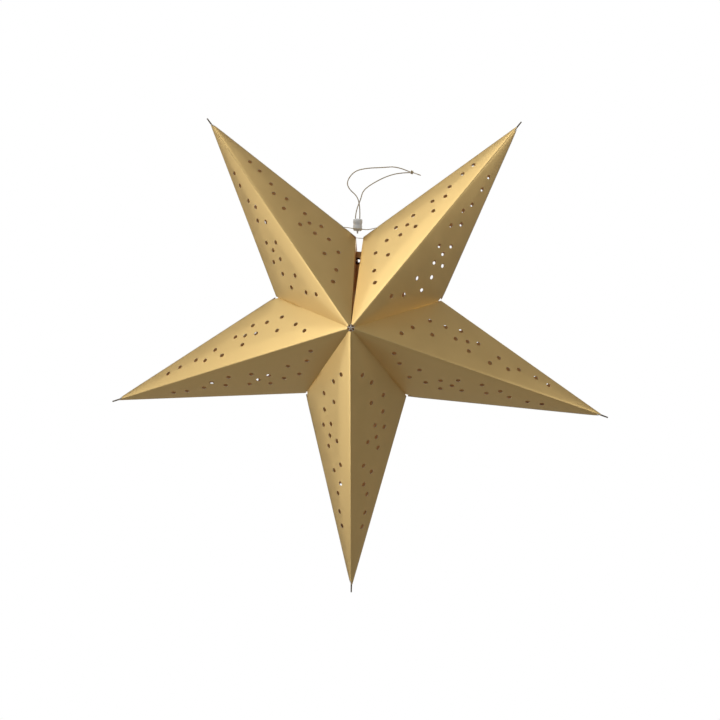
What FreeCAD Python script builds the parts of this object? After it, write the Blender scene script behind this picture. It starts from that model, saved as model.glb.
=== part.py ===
import FreeCAD, Part
import math
import os

import Sketcher
from FreeCAD import Placement, Rotation, Vector

# Five-pointed star lantern: five folded card arms glued side by side round a common axis.
# Frame: millimetres, upright as hung. +Z up, the front faces -Y, the star's own plane is XZ.
# The origin is the star's centre, on the line through its front and back peaks.

# Driving dimensions
SIZES = {
    "tip_radius": 300,          # centre to the point of an arm
    "notch_radius": 101,        # centre to the corner between two arms
    "peak_depth": 90,           # star plane to the front or back peak
    "seam_angle": 5,            # opening left between the first and the last arm, degrees
    "card_thickness": 0.45,
    "glue_flap": 12,            # width of the flap folded in along each valley
    "end_cut": 2.2,             # how far the card stops short of the axis
    "punch_diameter": 5.2,
    "tail_width": 1.9,          # pinched end of an arm, four layers of card
    "tail_depth": 1.8,
    "tail_root": 7,             # where the tail starts, short of the point
    "tail_reach": 4.5,          # how far the tail runs past the point
    "closing_drop": 1.4,        # closing flap below the back valley line
    "closing_width": 9.5,       # reach of the closing flap past the seam's middle
    "closing_low": 20,          # stretch of the closing flap, from the back peak
    "closing_high": 114,
    "closing_lip": 2,           # lip that carries the closing flap
    "eyelet_bore": 5.2,
    "eyelet_barrel": 6.4,
    "eyelet_flange": 11,
    "eyelet_sheet": 0.5,
    "eyelet_along": 99.5,       # eyelet's place from the back peak, along the seam
    "eyelet_aside": 2.4,        # and to the left of the seam's middle
    "tie_diameter": 1.1,        # cord that ties the two end arms together
    "tie_hole": 2.5,
    "tie_along": 18,            # tie hole's place from the notch corner, along the outer fold
    "tie_knot": 3.2,
    "strand_diameter": 1.3,     # hanging loop
    "strand_gap": 1.8,          # front-to-back distance between the loop's two strands
    "stopper_diameter": 11,
    "stopper_height": 14.6,
    "stopper_rise": 6.7,        # underside of the stopper, above the notch corners
    "stopper_aside": 2.6,       # stopper's axis, left of the centre
    "stopper_bore": 1.8,
    "stopper_cross": 2.1,
    "nib_diameter": 2.2,        # moulded nib under the stopper
    "nib_length": 3,
    "knot_width": 4.4,          # knot that ends the loop
    "tail_cord": 11,            # cord ends left past the knot
    "thread_diameter": 0.9,     # thread across the seam's mouth
    "thread_drop": 1.6,         # and how far below the notch corners it runs
}

# Punched holes of one panel: shares of the way from the peak to the point, and to the notch
PUNCHES = [
    (0.709, 0.185), (0.641, 0.236), (0.560, 0.268), (0.534, 0.212),
    (0.461, 0.209), (0.453, 0.346), (0.352, 0.283), (0.331, 0.464),
    (0.297, 0.433), (0.257, 0.409), (0.223, 0.575), (0.188, 0.340),
    (0.169, 0.551), (0.122, 0.187), (0.109, 0.346), (0.104, 0.557),
]

# Routes of the hanging loop's two strands, as (X, rise above the notch corners)
LEFT_ROUTE = [
    (-0.2, 15.0), (-0.2, 26.0), (-0.8, 37.5), (-4.0, 48.0), (-14.5, 56.0), (-17.8, 65.0),
    (-9.0, 78.5), (6.5, 81.9), (25.0, 82.8), (43.0, 84.4), (57.6, 77.6),
]
RIGHT_ROUTE = [
    (-5.6, 16.6), (-5.6, 25.8), (-3.4, 35.5), (0.2, 44.5), (2.6, 55.0), (14.5, 64.0),
    (31.0, 72.6), (46.0, 76.6), (57.6, 77.0),
]
# The tie cord between its holes in the end arms, as (X, rise above the notch corners)
TIE_MIDDLE = [(-8.0, 8.9), (0.5, 8.3), (9.5, 7.9)]
# and its ends, as (outwards, up) from each hole: before it and behind it
TIE_BEFORE_LEFT, TIE_BEHIND_LEFT = (-2.8, -0.1), (5.2, 0.9)
TIE_BEFORE_RIGHT, TIE_BEHIND_RIGHT = (-2.0, -0.7), (5.1, 1.1)

doc = FreeCAD.newDocument("origami_star")
sheet = doc.addObject("Spreadsheet::Sheet", "Sizes")
for row, (word, value) in enumerate(SIZES.items(), start=1):
    sheet.set("A%d" % row, word)
    sheet.set("B%d" % row, str(value))
    sheet.setAlias("B%d" % row, word)
doc.recompute()


def size(word):
    return float(sheet.get(word))


# Lengths that follow from the driving dimensions
ARM_SPAN = (360 - size("seam_angle")) / 5
HALF = math.radians(ARM_SPAN / 2)
SEAM_HALF = math.radians(size("seam_angle") / 2)
tip_radius, notch_radius, peak_depth = size("tip_radius"), size("notch_radius"), size("peak_depth")
notch_x, notch_z = notch_radius * math.cos(HALF), notch_radius * math.sin(HALF)
root_width = tip_radius * notch_z / (tip_radius - notch_x)
valley_length = math.hypot(notch_radius, peak_depth)
card = size("card_thickness")
# All four panels lie at this distance from the centre, so the inside is the outside scaled down
panel_distance = 1 / math.sqrt(1 / tip_radius**2 + 1 / peak_depth**2 + 1 / root_width**2)
inside_share = 1 - card / panel_distance
left_strand = [(x, notch_radius + rise) for x, rise in LEFT_ROUTE]
right_strand = [(x, notch_radius + rise) for x, rise in RIGHT_ROUTE]
stopper_foot = notch_radius + size("stopper_rise")


def plane_of(body, role):
    return [feature for feature in body.Origin.OriginFeatures if feature.Role == role][0]


def sketch_on(body, name, role, lift=0.0):
    """A sketch on one of the body's own planes, lifted along that plane's normal."""
    sketch = body.newObject("Sketcher::SketchObject", name)
    sketch.AttachmentSupport = [(plane_of(body, role), "")]
    sketch.MapMode = "FlatFace"
    sketch.AttachmentOffset = Placement(Vector(0, 0, lift), Rotation())
    return sketch


def sketch_at(body, name, origin, along, across):
    """A sketch whose X runs along and whose Y runs across, in the body's own frame."""
    sketch = body.newObject("Sketcher::SketchObject", name)
    along, across = Vector(along).normalize(), Vector(across).normalize()
    sketch.Placement = Placement(Vector(origin), Rotation(along, across, along.cross(across), "XYZ"))
    return sketch


def outline(sketch, corners):
    """A closed outline. Each corner is (x, y) or (x, y, formula of x, formula of y)."""
    first = sketch.GeometryCount
    sketch.addGeometry([
        Part.LineSegment(Vector(*corner[:2], 0), Vector(*after[:2], 0))
        for corner, after in zip(corners, corners[1:] + corners[:1])
    ], False)
    rules, formulas = [], {}
    for number, corner in enumerate(corners):
        here, after = first + number, first + (number + 1) % len(corners)
        rules.append(Sketcher.Constraint("Coincident", here, 2, after, 1))
        bound = corner[2:] or (None, None)
        for kind, value, formula in zip(("DistanceX", "DistanceY"), corner[:2], bound):
            if formula:
                formulas[sketch.ConstraintCount + len(rules)] = formula
            rules.append(Sketcher.Constraint(kind, -1, 1, here, 1, value))
    sketch.addConstraint(rules)
    for index, formula in formulas.items():
        sketch.setExpression("Constraints[%d]" % index, formula)


def circles(sketch, places, diameter, formula):
    """Equal circles at the places given, their diameter bound to the sheet."""
    first = sketch.GeometryCount
    upright = Vector(0, 0, 1)
    rings = [Part.Circle(Vector(x, y, 0), upright, diameter / 2) for x, y in places]
    sketch.addGeometry(rings, False)
    bound = sketch.ConstraintCount
    rules = [Sketcher.Constraint("Diameter", first, diameter)]
    for number, (x, y) in enumerate(places, start=first):
        rules.append(Sketcher.Constraint("DistanceX", -1, 1, number, 3, x))
        rules.append(Sketcher.Constraint("DistanceY", -1, 1, number, 3, y))
        if number > first:
            rules.append(Sketcher.Constraint("Equal", first, number))
    sketch.addConstraint(rules)
    sketch.setExpression("Constraints[%d]" % bound, formula)


def pad(body, name, sketch, length, formula=None, middle=False, turned=False):
    feature = body.newObject("PartDesign::Pad", name)
    feature.Profile = sketch
    feature.Length = length
    feature.Midplane = middle
    feature.Reversed = turned
    if formula:
        feature.setExpression("Length", formula)
    return feature


def pocket(body, name, sketch, length):
    feature = body.newObject("PartDesign::Pocket", name)
    feature.Profile = sketch
    feature.Length = length
    feature.Midplane = True
    return feature


def pyramid(share):
    """The four-sided pyramid that an arm is part of, scaled about the star's centre."""
    tip = Vector(tip_radius * share, 0, 0)
    deep, wide = peak_depth * share, root_width * share
    ring = [Vector(0, deep, 0), Vector(0, 0, wide), Vector(0, -deep, 0), Vector(0, 0, -wide)]
    sides = [
        Part.Face(Part.makePolygon([one, two, tip, one]))
        for one, two in zip(ring, ring[1:] + ring[:1])
    ]
    root = Part.Face(Part.makePolygon(ring + ring[:1]))
    return Part.Solid(Part.Shell(sides + [root]))


def flap(body, side, face, width):
    """A strip of card along one valley edge, folded into the valley's own plane."""
    outward = Vector(math.cos(HALF), 0, side * math.sin(HALF))
    name = "Flap%s%s" % ("Up" if side > 0 else "Down", "Front" if face < 0 else "Back")
    sketch = sketch_at(body, name + "Outline", Vector(0, 0, 0), outward, Vector(0, 1, 0))
    start = size("end_cut") / math.cos(HALF)
    deep = peak_depth * (1 - start / notch_radius)
    inset = width * valley_length / notch_radius
    short = notch_radius - width * valley_length / peak_depth
    # The flap's end by the axis is cut back at a slant, as a folded corner needs
    slant = start + width * 0.6
    deep_inside = peak_depth * (1 - slant / notch_radius) - inset
    outline(sketch, [(start, face * deep), (notch_radius, 0), (short, 0), (slant, face * deep_inside)])
    # outward cross +Y points up for the lower side and down for the upper side
    inward = outward.cross(Vector(0, 1, 0)).z * side < 0
    pad(body, name, sketch, card, "Sizes.card_thickness", turned=not inward)


def punch(body, side, face):
    """The sixteen holes of one panel, across the card."""
    peak = Vector(0, face * peak_depth, 0)
    to_tip = Vector(tip_radius, 0, 0) - peak
    to_notch = Vector(notch_x, 0, side * notch_z) - peak
    ridge = Vector(to_tip).normalize()
    across = to_notch - ridge * to_notch.dot(ridge)
    name = "Holes%s%s" % ("Up" if side > 0 else "Down", "Front" if face < 0 else "Back")
    sketch = sketch_at(body, name + "Outline", peak, ridge, across)
    across.normalize()
    places = [to_tip * tip_share + to_notch * notch_share for tip_share, notch_share in PUNCHES]
    flat = [(place.dot(ridge), place.dot(across)) for place in places]
    circles(sketch, flat, size("punch_diameter"), "Sizes.punch_diameter")
    pocket(body, name, sketch, 6 * card)


def arm(name, number, seam_side):
    """One folded arm. Number counts anticlockwise from the seam, seen from the front."""
    angle = 90 + size("seam_angle") / 2 + ARM_SPAN * (number + 0.5)
    turn = Rotation(Vector(0, 1, 0), -angle)
    body = doc.addObject("PartDesign::Body", name)
    body.Label = name

    # The card: flat panels meeting at sharp folds, open at the root
    folded = doc.addObject("Part::Feature", name + "_folded")
    folded.Shape = pyramid(1).cut(pyramid(inside_share))
    folded.Placement = Placement()
    body.BaseFeature = folded

    # The two valley planes and the square inner end
    far = 1.4 * notch_radius
    for side, word in ((1, "Up"), (-1, "Down")):
        valley = sketch_on(body, "Valley%sOutline" % word, "XZ_Plane")
        corner = (far * math.cos(HALF), side * far * math.sin(HALF))
        outline(valley, [(-1, 0), (0, 0), corner, (0, side * far), (-1, side * far)])
        pocket(body, "Valley" + word, valley, 3 * peak_depth)
    end = sketch_on(body, "InnerCutOutline", "XZ_Plane")
    cut = size("end_cut")
    outline(end, [
        (-1, -2 * cut),
        (cut, -2 * cut, "Sizes.end_cut", None),
        (cut, 2 * cut, "Sizes.end_cut", None),
        (-1, 2 * cut),
    ])
    pocket(body, "InnerCut", end, 3 * peak_depth)

    # Glue flaps: none on the first arm's back seam edge, a narrow lip on the last arm's
    for side in (1, -1):
        for face in (-1, 1):
            width = size("glue_flap")
            if side == seam_side and face > 0:
                width = size("closing_lip") if side > 0 else 0
            if width:
                flap(body, side, face, width)
    for side in (1, -1):
        for face in (-1, 1):
            punch(body, side, face)

    # The pinched tail
    tail = sketch_on(body, "TailOutline", "XZ_Plane")
    low, high = tip_radius - size("tail_root"), tip_radius + size("tail_reach")
    half = size("tail_width") / 2
    outline(tail, [(low, -half), (high, -half), (high, half), (low, half)])
    pad(body, "Tail", tail, size("tail_depth"), "Sizes.tail_depth", middle=True)

    if seam_side:
        tie_hole(body, seam_side, turn)
    if seam_side > 0:
        closing_flap(body, turn)
    body.Placement = Placement(Vector(0, 0, 0), turn)
    return body


def tie_hole_place(side):
    """Where the tie cord passes an end arm's outer fold, in the star's frame."""
    angle = math.pi / 2 + side * SEAM_HALF
    corner = Vector(notch_radius * math.cos(angle), 0, notch_radius * math.sin(angle))
    tip_angle = angle + side * HALF
    tip = Vector(tip_radius * math.cos(tip_angle), 0, tip_radius * math.sin(tip_angle))
    return corner + (tip - corner).normalize() * size("tie_along")


def tie_hole(body, seam_side, turn):
    back = turn.inverted()
    place = back.multVec(tie_hole_place(-seam_side))
    sketch = sketch_at(body, "TieHoleOutline", place, back.multVec(Vector(0, 0, 1)), Vector(0, 1, 0))
    circles(sketch, [(0, 0)], size("tie_hole"), "Sizes.tie_hole")
    pocket(body, "TieHole", sketch, 5.6 * size("tie_hole"))


def tie_place(side, step):
    """A place of the tie cord, stepped outwards and up from its hole on that side."""
    hole = tie_hole_place(-side)
    return hole.x + side * step[0], hole.z + step[1]


# The closing flap's plane: below the back valley line, across the seam
down_valley = Vector(0, -peak_depth, notch_radius).normalize()
behind = Vector(0, notch_radius, peak_depth).normalize()
closing_origin = Vector(0, peak_depth, 0) - behind * size("closing_drop")


def closing_flap(body, turn):
    """The last arm's flap that closes the seam at the back and carries the eyelet."""
    back = turn.inverted()
    start, rightward = back.multVec(closing_origin), back.multVec(Vector(1, 0, 0))
    sketch = sketch_at(body, "ClosingOutline", start, rightward, back.multVec(down_valley))
    low, high, reach = size("closing_low"), size("closing_high"), size("closing_width")
    rise = notch_radius / valley_length * math.tan(SEAM_HALF)
    outline(sketch, [
        (-reach, low, "-Sizes.closing_width", "Sizes.closing_low"),
        (low * rise + card, low),
        (high * rise + card, high),
        (-reach, high, "-Sizes.closing_width", "Sizes.closing_high"),
    ])
    hole = (-size("eyelet_aside"), size("eyelet_along"))
    circles(sketch, [hole], size("eyelet_barrel"), "Sizes.eyelet_barrel")
    pad(body, "ClosingFlap", sketch, card, "Sizes.card_thickness", middle=True)


def eyelet():
    """A flanged metal eyelet, clinched on both faces of the closing flap."""
    body = doc.addObject("PartDesign::Body", "eyelet")
    body.Label = "eyelet"
    sketch = sketch_on(body, "Section", "XZ_Plane")
    bore, barrel, flange = size("eyelet_bore") / 2, size("eyelet_barrel") / 2, size("eyelet_flange") / 2
    half, top = card / 2, card / 2 + size("eyelet_sheet")
    outline(sketch, [
        (bore, -top, "Sizes.eyelet_bore / 2", None),
        (flange, -top, "Sizes.eyelet_flange / 2", None),
        (flange, -half),
        (barrel, -half),
        (barrel, half),
        (flange, half),
        (flange, top),
        (bore, top),
    ])
    turned = body.newObject("PartDesign::Revolution", "Turned")
    turned.Profile = sketch
    turned.ReferenceAxis = (sketch, ["V_Axis"])
    turned.Angle = 360
    place = closing_origin + down_valley * size("eyelet_along") - Vector(size("eyelet_aside"), 0, 0)
    body.Placement = Placement(place, Rotation(Vector(1, 0, 0), down_valley, behind, "XYZ"))


def stopper():
    """The plastic stopper: a rounded barrel, two bores for the loop and one across for the tie."""
    body = doc.addObject("PartDesign::Body", "cord_stopper")
    body.Label = "cord_stopper"
    sketch = sketch_on(body, "Section", "XZ_Plane")
    radius, height = size("stopper_diameter") / 2, size("stopper_height")
    nib, drop = size("nib_diameter") / 2, size("nib_length")
    outline(sketch, [
        (0, -drop, None, "-Sizes.nib_length"),
        (nib, -drop),
        (nib, 0),
        (radius, 0),
        (radius, height),
        (0, height, None, "Sizes.stopper_height"),
    ])
    turned = body.newObject("PartDesign::Revolution", "Barrel")
    turned.Profile = sketch
    turned.ReferenceAxis = (sketch, ["V_Axis"])
    turned.Angle = 360
    doc.recompute()
    rims = [
        "Edge%d" % (number + 1)
        for number, edge in enumerate(turned.Shape.Edges)
        if hasattr(edge.Curve, "Radius") and abs(edge.Curve.Radius - radius) < 1e-6
    ]
    rounded = body.newObject("PartDesign::Fillet", "Rounded")
    rounded.Base = (turned, rims)
    rounded.Radius = 0.25 * size("stopper_diameter")
    bores = sketch_on(body, "BoreOutline", "XY_Plane", height)
    apart = size("strand_gap") / 2
    aside = size("stopper_aside")
    places = [(left_strand[0][0] + aside, -apart), (right_strand[0][0] + aside, apart)]
    circles(bores, places, size("stopper_bore"), "Sizes.stopper_bore")
    pocket(body, "Bores", bores, 2 * (stopper_foot + height - left_strand[0][1] + 0.5))
    level = Vector(0, 0, TIE_MIDDLE[0][1] - size("stopper_rise") - 0.3)
    across = sketch_at(body, "CrossOutline", level, Vector(0, 1, 0), Vector(0, 0, 1))
    circles(across, [(0, 0)], size("stopper_cross"), "Sizes.stopper_cross")
    pocket(body, "CrossBore", across, 3 * radius)
    body.Placement = Placement(Vector(-size("stopper_aside"), 0, stopper_foot), Rotation())


def cord(name, route, depth, diameter):
    """A round cord along straight runs joined by arcs as large as the runs allow."""
    points = [Vector(x, depth, z) for x, z in route]
    edges, here, radii = [], points[0], []
    for before, corner, after in zip(points, points[1:], points[2:]):
        run_in, run_out = corner - before, after - corner
        turn = run_in.getAngle(run_out)
        reach = 0.45 * min(run_in.Length, run_out.Length)
        radii.append(reach / math.tan(turn / 2))
        run_in.normalize()
        run_out.normalize()
        start, stop = corner - run_in * reach, corner + run_out * reach
        bisector = (run_out - run_in).normalize()
        middle = corner + bisector * (radii[-1] / math.cos(turn / 2) - radii[-1])
        edges += [Part.LineSegment(here, start).toShape(), Part.Arc(start, middle, stop).toShape()]
        here = stop
    edges.append(Part.LineSegment(here, points[-1]).toShape())
    path = Part.Wire(edges)
    ring = Part.Wire(Part.Circle(points[0], points[1] - points[0], diameter / 2).toShape())
    tube = path.makePipeShell([ring], True, False)
    feature = doc.addObject("Part::Feature", name)
    feature.Label = name
    feature.Shape = tube
    feature.Placement = Placement()
    print(name, "length %.1f" % path.Length, "radii", ["%.1f" % radius for radius in radii],
          "volume share %.4f" % (tube.Volume / (path.Length * math.pi * diameter**2 / 4)))
    return feature


def loop_knot():
    """The knot at the loop's end, with the two short cord ends that stick out of it."""
    ball = doc.addObject("Part::Sphere", "KnotBall")
    ball.setExpression("Radius", "Sizes.knot_width / 2")
    (left_x, left_z), (right_x, right_z) = left_strand[-1], right_strand[-1]
    centre = Vector(left_x + size("knot_width") / 2 + 0.05, 0, (left_z + right_z) / 2)
    ball.Placement = Placement(centre, Rotation())
    ends = []
    for word, depth in (("Front", -1), ("Back", 1)):
        end = doc.addObject("Part::Cylinder", "KnotEnd" + word)
        end.setExpression("Radius", "Sizes.strand_diameter / 2")
        end.setExpression("Height", "Sizes.tail_cord")
        start = centre + Vector(0, depth * size("strand_diameter") * 0.45, 0)
        end.Placement = Placement(start, Rotation(Vector(0, 0, 1), Vector(0.945, 0, -0.327)))
        ends.append(end)
    knot = doc.addObject("Part::MultiFuse", "loop_knot")
    knot.Shapes = [ball] + ends
    knot.Label = "loop_knot"
    return knot


def bead(name, place):
    """The knot that keeps an end of the tie cord inside its arm."""
    ball = doc.addObject("Part::Sphere", name)
    ball.Label = name
    ball.setExpression("Radius", "Sizes.tie_knot / 2")
    ball.Placement = Placement(place, Rotation())


def seam_thread():
    """The short thread that holds the seam's mouth together."""
    thread = doc.addObject("Part::Cylinder", "seam_thread")
    thread.Label = "seam_thread"
    height = notch_radius - size("thread_drop")
    half = height * math.tan(SEAM_HALF) - 0.05
    thread.setExpression("Radius", "Sizes.thread_diameter / 2")
    thread.Height = 2 * half
    sideways = Rotation(Vector(0, 0, 1), Vector(1, 0, 0))
    thread.Placement = Placement(Vector(-half, 0, height), sideways)


arm("arm_top_left", 0, -1)
arm("arm_left", 1, 0)
arm("arm_bottom", 2, 0)
arm("arm_right", 3, 0)
arm("arm_top_right", 4, 1)
eyelet()
stopper()
cord("loop_strand_left", left_strand, -size("strand_gap") / 2, size("strand_diameter"))
cord("loop_strand_right", right_strand, size("strand_gap") / 2, size("strand_diameter"))
left_end, right_end = tie_place(-1, TIE_BEHIND_LEFT), tie_place(1, TIE_BEHIND_RIGHT)
tie = [left_end, tie_place(-1, TIE_BEFORE_LEFT)]
tie += [(x, notch_radius + rise) for x, rise in TIE_MIDDLE]
tie += [tie_place(1, TIE_BEFORE_RIGHT), right_end]
cord("tie_cord", tie, 0, size("tie_diameter"))
loop_knot()
bead("tie_knot_left", Vector(left_end[0] - size("tie_knot") / 2, 0, left_end[1] + 0.2))
bead("tie_knot_right", Vector(right_end[0] + size("tie_knot") / 2, 0, right_end[1] + 0.2))
seam_thread()
doc.recompute()

NODES = [
    "arm_top_left", "arm_left", "arm_bottom", "arm_right", "arm_top_right", "eyelet", "cord_stopper",
    "loop_strand_left", "loop_strand_right", "loop_knot", "tie_cord", "tie_knot_left", "tie_knot_right",
    "seam_thread",
]

failed = [item.Name for item in doc.Objects if "Invalid" in item.State or "Error" in item.State]
if failed:
    raise SystemExit("failed objects: " + ", ".join(failed))
os.makedirs("parts", exist_ok=True)
for name in NODES:
    shape = doc.getObjectsByLabel(name)[0].Shape
    if shape.isNull() or not shape.isValid():
        raise SystemExit(name + " has no sound shape")
    box = shape.BoundBox
    print("%-18s solids %d faces %3d" % (name, len(shape.Solids), len(shape.Faces)),
          "volume %9.1f" % shape.Volume,
          "X %.1f..%.1f Y %.1f..%.1f" % (box.XMin, box.XMax, box.YMin, box.YMax),
          "Z %.1f..%.1f" % (box.ZMin, box.ZMax))
    shape.exportStep("parts/%s.step" % name)
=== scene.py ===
import math

import bmesh
import bpy
from mathutils import Matrix, Vector


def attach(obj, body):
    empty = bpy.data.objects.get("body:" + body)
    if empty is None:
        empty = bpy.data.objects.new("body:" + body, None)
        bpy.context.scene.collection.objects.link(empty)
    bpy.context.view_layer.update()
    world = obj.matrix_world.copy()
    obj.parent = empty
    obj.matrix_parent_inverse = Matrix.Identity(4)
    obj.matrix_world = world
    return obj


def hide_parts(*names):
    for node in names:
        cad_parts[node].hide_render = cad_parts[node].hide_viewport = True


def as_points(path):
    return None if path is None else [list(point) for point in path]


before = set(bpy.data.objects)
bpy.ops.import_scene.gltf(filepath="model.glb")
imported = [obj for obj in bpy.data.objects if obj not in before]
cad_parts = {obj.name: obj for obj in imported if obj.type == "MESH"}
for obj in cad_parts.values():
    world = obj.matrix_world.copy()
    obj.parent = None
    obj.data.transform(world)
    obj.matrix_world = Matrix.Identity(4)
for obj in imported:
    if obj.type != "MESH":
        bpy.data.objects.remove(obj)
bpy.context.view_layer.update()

# The studio: the star hangs in front of a white backdrop over a pale floor, with soft white
# panels of light to its left, upper left, top and right and a broad one behind it. The camera
# stands a little to the right of the star's centre and looks at it almost squarely.
CAMERA_PLACE = (0.076, -0.950, 0.055)
CAMERA_TURN = (94.2592, -1.2758, 3.4266)
CAMERA_LENS = 40.53
CAMERA_SHIFT = (-0.0208, -0.2)

camera_data = bpy.data.cameras.new("camera")
camera = bpy.data.objects.new("camera", camera_data)
bpy.context.scene.collection.objects.link(camera)
camera.location = CAMERA_PLACE
camera.rotation_euler = [math.radians(angle) for angle in CAMERA_TURN]
camera_data.lens = CAMERA_LENS
camera_data.sensor_width = 36
camera_data.shift_x, camera_data.shift_y = CAMERA_SHIFT
camera_data.clip_start, camera_data.clip_end = 0.01, 30
bpy.context.scene.camera = camera
bpy.context.scene.view_settings.view_transform = "Standard"


def new_material(name):
    """A material with an empty node tree, and a function that adds a node with settings."""
    material = bpy.data.materials.new(name)
    material.use_nodes = True
    material.node_tree.nodes.clear()

    def add(kind, values=None, **settings):
        node = material.node_tree.nodes.new("ShaderNode" + kind)
        for word, value in settings.items():
            setattr(node, word, value)
        for socket, value in (values or {}).items():
            if isinstance(value, bpy.types.NodeSocket):
                material.node_tree.links.new(value, node.inputs[socket])
            else:
                node.inputs[socket].default_value = value
        return node

    return material, add


def seen_white(name, shade):
    """A pale surface that the camera sees as the white of the backdrop."""
    material, add = new_material(name)
    path = add("LightPath")
    straight, through = path.outputs["Is Camera Ray"], path.outputs["Is Transmission Ray"]
    seen = add("Math", {0: straight, 1: through}, operation="MAXIMUM")
    plain = add("BsdfDiffuse", {"Color": (*shade, 1)})
    white = add("Emission", {"Color": (1, 1, 1, 1), "Strength": 1})
    mix = add("MixShader", {0: seen.outputs[0], 1: plain.outputs[0], 2: white.outputs[0]})
    add("OutputMaterial", {"Surface": mix.outputs[0]})
    return material


def only(*objects):
    """Selects these objects alone, the last of them active."""
    if bpy.context.object and bpy.context.object.mode != "OBJECT":
        bpy.ops.object.mode_set(mode="OBJECT")
    bpy.ops.object.select_all(action="DESELECT")
    for item in objects:
        item.select_set(True)
    bpy.context.view_layer.objects.active = objects[-1]


FLOOR_LEVEL, FLOOR_SIDE = -1.35, 9
FLOOR_GREY = (0.4, 0.4, 0.4)
ROOM_LIGHT = 0.31
bpy.ops.mesh.primitive_plane_add(size=FLOOR_SIDE, location=(0, 0, FLOOR_LEVEL))
floor = bpy.context.object
floor.name = "studio_floor"
floor.data.materials.append(seen_white("floor_paint", FLOOR_GREY))

world = bpy.data.worlds.new("studio")
bpy.context.scene.world = world
world.use_nodes = True
tree = world.node_tree
tree.nodes.clear()
rays = tree.nodes.new("ShaderNodeLightPath")
room = tree.nodes.new("ShaderNodeBackground")
room.inputs["Color"].default_value = (1, 1, 1, 1)
room.inputs["Strength"].default_value = ROOM_LIGHT
backdrop = tree.nodes.new("ShaderNodeBackground")
backdrop.inputs["Color"].default_value = (1, 1, 1, 1)
backdrop.inputs["Strength"].default_value = 1
either = tree.nodes.new("ShaderNodeMixShader")
ending = tree.nodes.new("ShaderNodeOutputWorld")
tree.links.new(rays.outputs["Is Camera Ray"], either.inputs[0])
tree.links.new(room.outputs[0], either.inputs[1])
tree.links.new(backdrop.outputs[0], either.inputs[2])
tree.links.new(either.outputs[0], ending.inputs[0])

# name, direction from the star (X, Y, Z), distance, side, radiance
LIGHT_PANELS = [
    ("light_upper_left", (-0.60, -0.15, 0.80), 2.4, 1.3, 2.6),
    ("light_left", (-0.94, -0.15, -0.34), 2.4, 1.3, 2.4),
    ("light_left_high", (-0.94, -0.15, 0.34), 2.4, 1.3, 0.9),
    ("light_top", (-0.09, -0.15, 1.00), 2.4, 1.3, 1.8),
    ("light_right", (0.98, -0.15, 0.24), 2.4, 1.3, 2.1),
    ("light_back", (0.10, 1.00, 0.10), 2.6, 3.0, 1.5),
]
for name, direction, distance, side, radiance in LIGHT_PANELS:
    lamp = bpy.data.lights.new(name, "AREA")
    lamp.shape = "SQUARE"
    lamp.size = side
    lamp.energy = radiance * math.pi * side**2
    holder = bpy.data.objects.new(name, lamp)
    bpy.context.scene.collection.objects.link(holder)
    towards = Vector(direction).normalized()
    holder.location = towards * distance
    holder.rotation_euler = towards.to_track_quat("Z", "Y").to_euler()
    holder.visible_camera = False

# The hanging loop: two strands of three-ply gold yarn that come up through the stopper, cross
# and end in one knot, and a thinner two-ply tie that runs before the stopper from arm to arm.
# The routes are the part's points in metres, moved a little to follow the photograph.
LEFT_STRAND = [
    (-0.0002, -0.0009, 0.1160), (-0.0002, -0.0009, 0.1270), (-0.0008, -0.0009, 0.1385),
    (-0.0040, -0.0009, 0.1490), (-0.0138, -0.0009, 0.1570), (-0.0170, -0.0009, 0.1660),
    (-0.0085, -0.0009, 0.1785), (0.0065, -0.0009, 0.1824), (0.0250, -0.0009, 0.1833),
    (0.0430, -0.0009, 0.1850), (0.0576, -0.0009, 0.1786),
]
RIGHT_STRAND = [
    (-0.0056, 0.0009, 0.1176), (-0.0056, 0.0009, 0.1268), (-0.0034, 0.0009, 0.1365),
    (0.0002, 0.0009, 0.1455), (0.0026, 0.0009, 0.1560), (0.0145, 0.0009, 0.1650),
    (0.0310, 0.0009, 0.1736), (0.0460, 0.0009, 0.1776), (0.0576, 0.0009, 0.1780),
]
TIE = [
    (-0.0240, 0, 0.1126), (-0.0188, 0, 0.1118), (-0.0135, -0.0022, 0.1115),
    (-0.0085, -0.0054, 0.1104), (-0.0026, -0.0064, 0.1100), (0.0034, -0.0054, 0.1096),
    (0.0095, -0.0026, 0.1092), (0.0168, -0.0003, 0.1112), (0.0239, 0, 0.1128),
]
STRAND, TIE_CORD = 0.0013, 0.0011
STRAND_LAY, TIE_LAY = 0.0042, 0.0036
PLY_SWELL = 1.12
STEPS_A_TURN = 10


def smooth_line(route):
    """The points of the NURBS spline that has the route's points as its controls."""
    curve = bpy.data.curves.new("route", "CURVE")
    curve.dimensions = "3D"
    curve.resolution_u = 16
    spline = curve.splines.new("NURBS")
    spline.points.add(len(route) - 1)
    for point, place in zip(spline.points, route):
        point.co = (*place, 1)
    spline.order_u = 3
    spline.use_endpoint_u = True
    holder = bpy.data.objects.new("route", curve)
    bpy.context.scene.collection.objects.link(holder)
    mesh = bpy.data.meshes.new_from_object(holder)
    line = [vertex.co.copy() for vertex in mesh.vertices]
    bpy.data.objects.remove(holder)
    return line


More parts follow.
